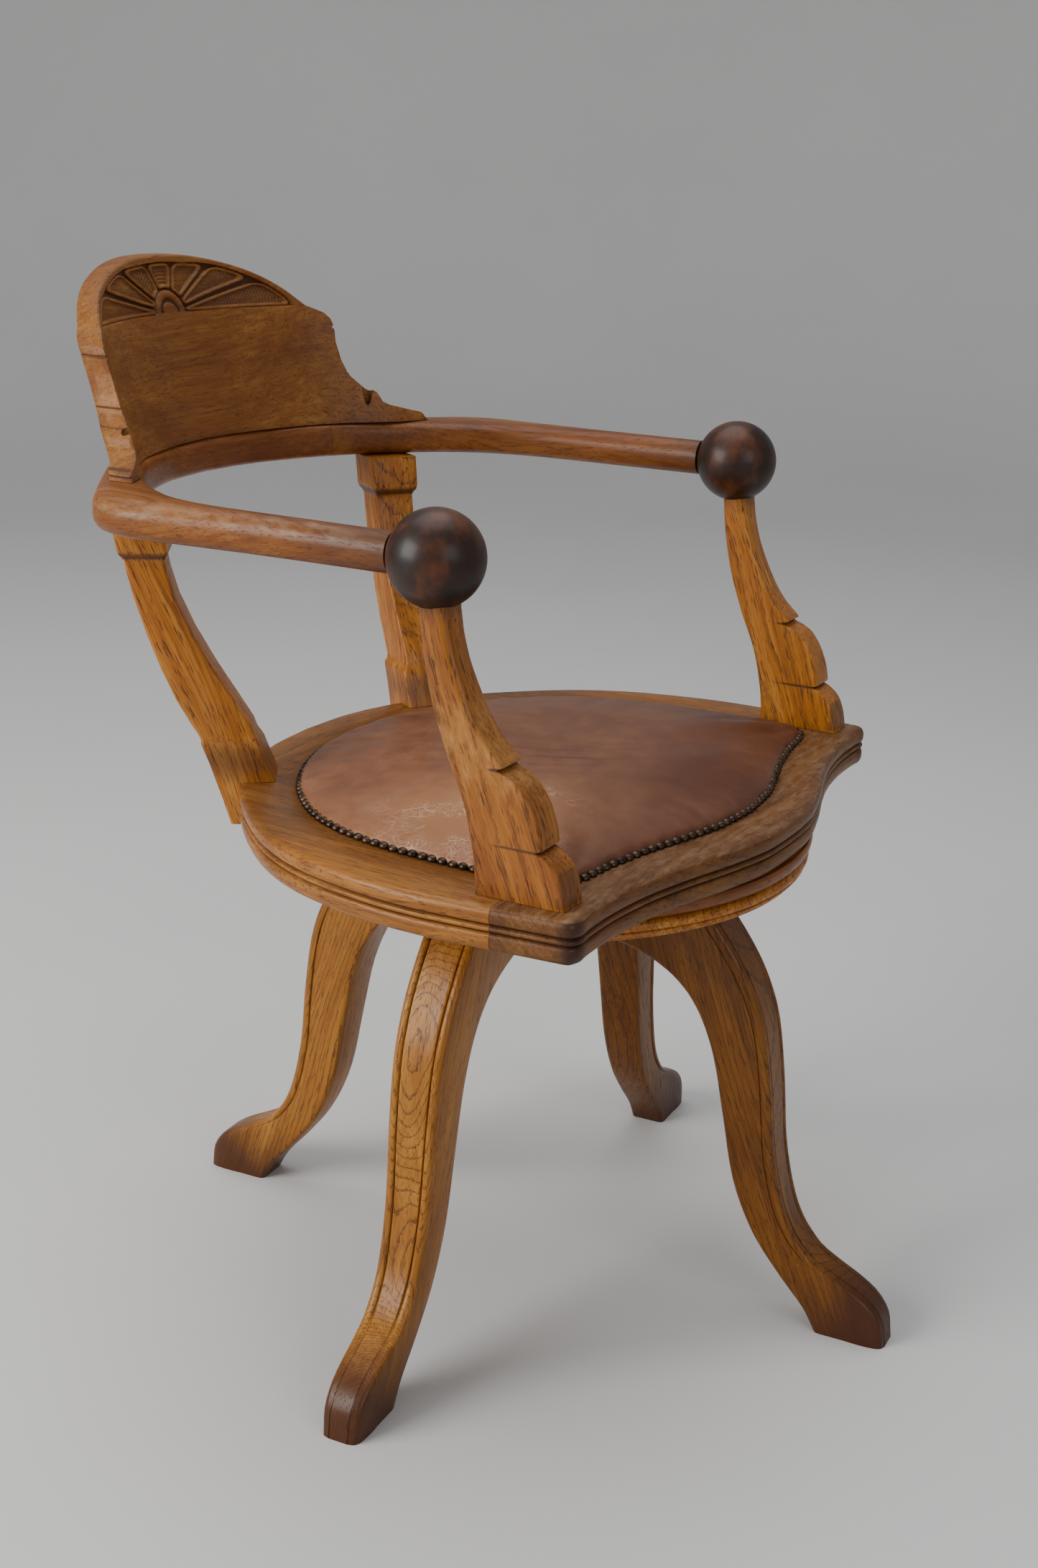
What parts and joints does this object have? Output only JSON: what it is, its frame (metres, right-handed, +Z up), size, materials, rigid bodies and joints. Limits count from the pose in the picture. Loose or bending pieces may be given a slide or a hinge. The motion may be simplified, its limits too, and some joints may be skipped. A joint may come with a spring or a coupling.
{
  "type": "swivel office chair",
  "caption": "Oak revolving desk chair with a horseshoe arm bow, carved back panel, leather seat and a base of curved legs.",
  "frame": {"origin": "on the floor, on the swivel axis", "axes": "+Z up along the swivel axis; the sitter faces -Y, with +X to the sitter's left"},
  "size_m": [0.6308, 0.7047, 0.798],
  "materials": {
    "oak_honey": "waxed honey oak",
    "oak_brown": "waxed brown oak",
    "oak_drum": "dark stained oak",
    "ball_dark": "near-black polished wood",
    "pine": "plain sawn pine",
    "leather": "worn brown hide",
    "iron": "dull dark iron",
    "brass": "plain brass"
  },
  "bodies": {
    "base": {"leg_front": "oak_honey", "leg_left": "oak_honey", "leg_back": "oak_honey", "leg_right": "oak_honey", "hub_block": "oak_honey", "base_disc": "oak_honey", "swivel_socket": "iron", "socket_screw_1": "iron", "socket_screw_2": "iron", "socket_screw_3": "iron", "socket_screw_4": "iron", "thrust_washer": "brass"},
    "seat": {"swivel_plate": "iron", "keeper_washer": "iron", "spindle_nut": "iron", "plate_screw_1": "iron", "plate_screw_2": "iron", "plate_screw_3": "iron", "plate_screw_4": "iron", "seat_drum": "oak_drum", "rim_front": "oak_honey", "rim_side_left": "oak_honey", "rim_back": "oak_honey", "rim_side_right": "oak_honey", "seat_board": "pine", "seat_pad": "leather", "arm_post_left": "oak_honey", "arm_post_right": "oak_honey", "ball_left": "ball_dark", "ball_right": "ball_dark", "arm_left": "oak_brown", "arm_right": "oak_brown", "bow_back": "oak_brown", "back_panel": "oak_brown", "panel_screw_left": "iron", "panel_screw_right": "iron", "rear_post_left": "oak_honey", "rear_post_right": "oak_honey"}
  },
  "joints": [
    {"name": "seat_swivel", "type": "hinge", "parent": "base", "child": "seat", "pos_m": [0, 0, 0.375], "axis": [0, 0, 1], "continuous": true}
  ]
}
